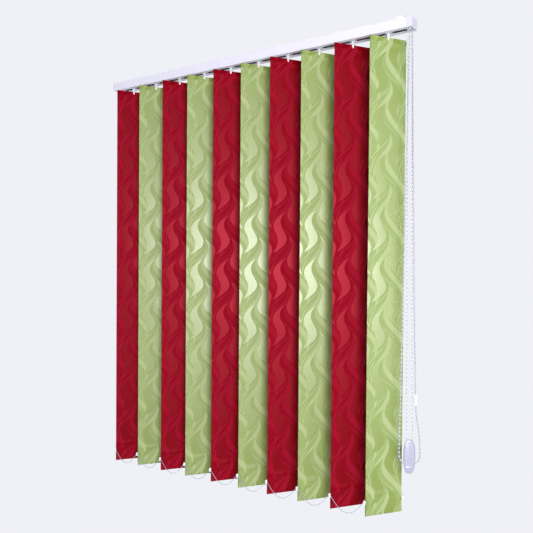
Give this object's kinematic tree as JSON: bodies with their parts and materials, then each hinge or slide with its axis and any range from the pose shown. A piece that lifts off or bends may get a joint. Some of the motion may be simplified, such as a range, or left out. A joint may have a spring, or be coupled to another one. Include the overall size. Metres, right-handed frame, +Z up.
{
  "type": "vertical blind",
  "caption": "Vertical blind: slatted fabric vanes in red and green hang from a white headrail, with a bead chain that turns them and a weighted cord that draws them aside.",
  "frame": {"origin": "on the ceiling or lintel plane, midway between the screws of the two rail brackets", "axes": "+X along the rail towards the control end, +Y towards the wall or window, +Z up"},
  "size_m": [1.245, 0.115, 1.4809],
  "materials": {
    "rail_aluminium": "white powder coat, satin",
    "bracket_steel": "white painted spring steel",
    "rod_aluminium": "drawn, satin",
    "white_plastic": "moulded, semi-gloss",
    "carrier_plastic": "moulded, fine grain",
    "nylon": "natural nylon",
    "red_fabric": "satin-patterned weave",
    "green_fabric": "satin-patterned weave",
    "cord": "braided polyester",
    "chain_plastic": "moulded beads on a cord"
  },
  "bodies": {
    "root": {"headrail": "rail_aluminium", "control_housing": "white_plastic", "end_cap": "white_plastic", "mounting_brackets": "bracket_steel", "carrier_10": "carrier_plastic", "tilt_chain": "chain_plastic", "draw_cord": "cord", "cord_weight": "white_plastic"},
    "carrier_1": {"carrier_1": "carrier_plastic"},
    "carrier_2": {"carrier_2": "carrier_plastic"},
    "carrier_3": {"carrier_3": "carrier_plastic"},
    "carrier_4": {"carrier_4": "carrier_plastic"},
    "carrier_5": {"carrier_5": "carrier_plastic"},
    "carrier_6": {"carrier_6": "carrier_plastic"},
    "carrier_7": {"carrier_7": "carrier_plastic"},
    "carrier_8": {"carrier_8": "carrier_plastic"},
    "carrier_9": {"carrier_9": "carrier_plastic"},
    "vane_1": {"hook_stem_1": "white_plastic", "vane_1": "red_fabric", "vane_fittings_1": "white_plastic"},
    "worm_1": {"worm_1": "nylon"},
    "vane_2": {"hook_stem_2": "white_plastic", "vane_2": "green_fabric", "vane_fittings_2": "white_plastic"},
    "worm_2": {"worm_2": "nylon"},
    "vane_3": {"hook_stem_3": "white_plastic", "vane_3": "red_fabric", "vane_fittings_3": "white_plastic"},
    "worm_3": {"worm_3": "nylon"},
    "vane_4": {"hook_stem_4": "white_plastic", "vane_4": "green_fabric", "vane_fittings_4": "white_plastic"},
    "worm_4": {"worm_4": "nylon"},
    "vane_5": {"hook_stem_5": "white_plastic", "vane_5": "red_fabric", "vane_fittings_5": "white_plastic"},
    "worm_5": {"worm_5": "nylon"},
    "vane_6": {"hook_stem_6": "white_plastic", "vane_6": "green_fabric", "vane_fittings_6": "white_plastic"},
    "worm_6": {"worm_6": "nylon"},
    "vane_7": {"hook_stem_7": "white_plastic", "vane_7": "red_fabric", "vane_fittings_7": "white_plastic"},
    "worm_7": {"worm_7": "nylon"},
    "vane_8": {"hook_stem_8": "white_plastic", "vane_8": "green_fabric", "vane_fittings_8": "white_plastic"},
    "worm_8": {"worm_8": "nylon"},
    "vane_9": {"hook_stem_9": "white_plastic", "vane_9": "red_fabric", "vane_fittings_9": "white_plastic"},
    "worm_9": {"worm_9": "nylon"},
    "vane_10": {"hook_stem_10": "white_plastic", "vane_10": "green_fabric", "vane_fittings_10": "white_plastic"},
    "worm_10": {"worm_10": "nylon"},
    "tilt_rod": {"tilt_rod": "rod_aluminium"},
    "front_link_chain": {"front_link_chain": "chain_plastic"},
    "rear_link_chain": {"rear_link_chain": "chain_plastic"}
  },
  "joints": [
    {"name": "traverse", "type": "slide", "parent": "root", "child": "carrier_1", "axis": [1, 0, 0], "range_m": [0, 0.828], "deforming": ["front_link_chain", "rear_link_chain"]},
    {"name": "traverse_2", "type": "slide", "parent": "root", "child": "carrier_2", "axis": [1, 0, 0], "range_m": [0, 0.736]},
    {"name": "traverse_3", "type": "slide", "parent": "root", "child": "carrier_3", "axis": [1, 0, 0], "range_m": [0, 0.644]},
    {"name": "traverse_4", "type": "slide", "parent": "root", "child": "carrier_4", "axis": [1, 0, 0], "range_m": [0, 0.552]},
    {"name": "traverse_5", "type": "slide", "parent": "root", "child": "carrier_5", "axis": [1, 0, 0], "range_m": [0, 0.46]},
    {"name": "traverse_6", "type": "slide", "parent": "root", "child": "carrier_6", "axis": [1, 0, 0], "range_m": [0, 0.368]},
    {"name": "traverse_7", "type": "slide", "parent": "root", "child": "carrier_7", "axis": [1, 0, 0], "range_m": [0, 0.276]},
    {"name": "traverse_8", "type": "slide", "parent": "root", "child": "carrier_8", "axis": [1, 0, 0], "range_m": [0, 0.184]},
    {"name": "traverse_9", "type": "slide", "parent": "root", "child": "carrier_9", "axis": [1, 0, 0], "range_m": [0, 0.092]},
    {"name": "tilt", "type": "hinge", "parent": "root", "child": "vane_10", "pos_m": [0.405, 0, 0], "axis": [0, 0, 1], "range_deg": [-42, 114]},
    {"name": "tilt_9", "type": "hinge", "parent": "carrier_9", "child": "vane_9", "pos_m": [0.289, 0, 0], "axis": [0, 0, 1], "range_deg": [-42, 114]},
    {"name": "tilt_8", "type": "hinge", "parent": "carrier_8", "child": "vane_8", "pos_m": [0.173, 0, 0], "axis": [0, 0, 1], "range_deg": [-42, 114]},
    {"name": "tilt_7", "type": "hinge", "parent": "carrier_7", "child": "vane_7", "pos_m": [0.057, 0, 0], "axis": [0, 0, 1], "range_deg": [-42, 114]},
    {"name": "tilt_6", "type": "hinge", "parent": "carrier_6", "child": "vane_6", "pos_m": [-0.059, 0, 0], "axis": [0, 0, 1], "range_deg": [-42, 114]},
    {"name": "tilt_5", "type": "hinge", "parent": "carrier_5", "child": "vane_5", "pos_m": [-0.175, 0, 0], "axis": [0, 0, 1], "range_deg": [-42, 114]},
    {"name": "tilt_4", "type": "hinge", "parent": "carrier_4", "child": "vane_4", "pos_m": [-0.291, 0, 0], "axis": [0, 0, 1], "range_deg": [-42, 114]},
    {"name": "tilt_3", "type": "hinge", "parent": "carrier_3", "child": "vane_3", "pos_m": [-0.407, 0, 0], "axis": [0, 0, 1], "range_deg": [-42, 114]},
    {"name": "tilt_2", "type": "hinge", "parent": "carrier_2", "child": "vane_2", "pos_m": [-0.523, 0, 0], "axis": [0, 0, 1], "range_deg": [-42, 114]},
    {"name": "tilt_1", "type": "hinge", "parent": "carrier_1", "child": "vane_1", "pos_m": [-0.639, 0, 0], "axis": [0, 0, 1], "range_deg": [-42, 114]},
    {"name": "worm_spin_1", "type": "hinge", "parent": "carrier_1", "child": "worm_1", "pos_m": [-0.639, -0.0086, -0.02], "axis": [1, 0, 0], "range_deg": [-1140, 420]},
    {"name": "worm_spin_2", "type": "hinge", "parent": "carrier_2", "child": "worm_2", "pos_m": [-0.523, -0.0086, -0.02], "axis": [1, 0, 0], "range_deg": [-1140, 420]},
    {"name": "worm_spin_3", "type": "hinge", "parent": "carrier_3", "child": "worm_3", "pos_m": [-0.407, -0.0086, -0.02], "axis": [1, 0, 0], "range_deg": [-1140, 420]},
    {"name": "worm_spin_4", "type": "hinge", "parent": "carrier_4", "child": "worm_4", "pos_m": [-0.291, -0.0086, -0.02], "axis": [1, 0, 0], "range_deg": [-1140, 420]},
    {"name": "worm_spin_5", "type": "hinge", "parent": "carrier_5", "child": "worm_5", "pos_m": [-0.175, -0.0086, -0.02], "axis": [1, 0, 0], "range_deg": [-1140, 420]},
    {"name": "worm_spin_6", "type": "hinge", "parent": "carrier_6", "child": "worm_6", "pos_m": [-0.059, -0.0086, -0.02], "axis": [1, 0, 0], "range_deg": [-1140, 420]},
    {"name": "worm_spin_7", "type": "hinge", "parent": "carrier_7", "child": "worm_7", "pos_m": [0.057, -0.0086, -0.02], "axis": [1, 0, 0], "range_deg": [-1140, 420]},
    {"name": "worm_spin_8", "type": "hinge", "parent": "carrier_8", "child": "worm_8", "pos_m": [0.173, -0.0086, -0.02], "axis": [1, 0, 0], "range_deg": [-1140, 420]},
    {"name": "worm_spin_9", "type": "hinge", "parent": "carrier_9", "child": "worm_9", "pos_m": [0.289, -0.0086, -0.02], "axis": [1, 0, 0], "range_deg": [-1140, 420]},
    {"name": "worm_spin_10", "type": "hinge", "parent": "root", "child": "worm_10", "pos_m": [0.405, -0.0086, -0.02], "axis": [1, 0, 0], "range_deg": [-1140, 420]},
    {"name": "rod_spin", "type": "hinge", "parent": "root", "child": "tilt_rod", "pos_m": [0, -0.0086, -0.02], "axis": [1, 0, 0], "range_deg": [-1140, 420]},
    {"name": "front_link_chain_swing", "type": "hinge", "parent": "vane_10", "child": "front_link_chain", "pos_m": [0.36574, -0.05404, -1.438], "axis": [0, 0, 1], "range_deg": [-114, 42]},
    {"name": "rear_link_chain_swing", "type": "hinge", "parent": "vane_10", "child": "rear_link_chain", "pos_m": [0.44426, 0.05404, -1.438], "axis": [0, 0, 1], "range_deg": [-114, 42]}
  ],
  "couplings": [
    {"joint": "traverse_2", "follows": "traverse", "ratio": 0.88889},
    {"joint": "traverse_3", "follows": "traverse", "ratio": 0.77778},
    {"joint": "traverse_4", "follows": "traverse", "ratio": 0.66667},
    {"joint": "traverse_5", "follows": "traverse", "ratio": 0.55556},
    {"joint": "traverse_6", "follows": "traverse", "ratio": 0.44444},
    {"joint": "traverse_7", "follows": "traverse", "ratio": 0.33333},
    {"joint": "traverse_8", "follows": "traverse", "ratio": 0.22222},
    {"joint": "traverse_9", "follows": "traverse", "ratio": 0.11111},
    {"joint": "tilt_9", "follows": "tilt", "ratio": 1},
    {"joint": "tilt_8", "follows": "tilt", "ratio": 1},
    {"joint": "tilt_7", "follows": "tilt", "ratio": 1},
    {"joint": "tilt_6", "follows": "tilt", "ratio": 1},
    {"joint": "tilt_5", "follows": "tilt", "ratio": 1},
    {"joint": "tilt_4", "follows": "tilt", "ratio": 1},
    {"joint": "tilt_3", "follows": "tilt", "ratio": 1},
    {"joint": "tilt_2", "follows": "tilt", "ratio": 1},
    {"joint": "tilt_1", "follows": "tilt", "ratio": 1},
    {"joint": "worm_spin_1", "follows": "tilt", "ratio": -10},
    {"joint": "worm_spin_2", "follows": "tilt", "ratio": -10},
    {"joint": "worm_spin_3", "follows": "tilt", "ratio": -10},
    {"joint": "worm_spin_4", "follows": "tilt", "ratio": -10},
    {"joint": "worm_spin_5", "follows": "tilt", "ratio": -10},
    {"joint": "worm_spin_6", "follows": "tilt", "ratio": -10},
    {"joint": "worm_spin_7", "follows": "tilt", "ratio": -10},
    {"joint": "worm_spin_8", "follows": "tilt", "ratio": -10},
    {"joint": "worm_spin_9", "follows": "tilt", "ratio": -10},
    {"joint": "worm_spin_10", "follows": "tilt", "ratio": -10},
    {"joint": "rod_spin", "follows": "tilt", "ratio": -10},
    {"joint": "front_link_chain_swing", "follows": "tilt", "ratio": -1},
    {"joint": "rear_link_chain_swing", "follows": "tilt", "ratio": -1}
  ]
}
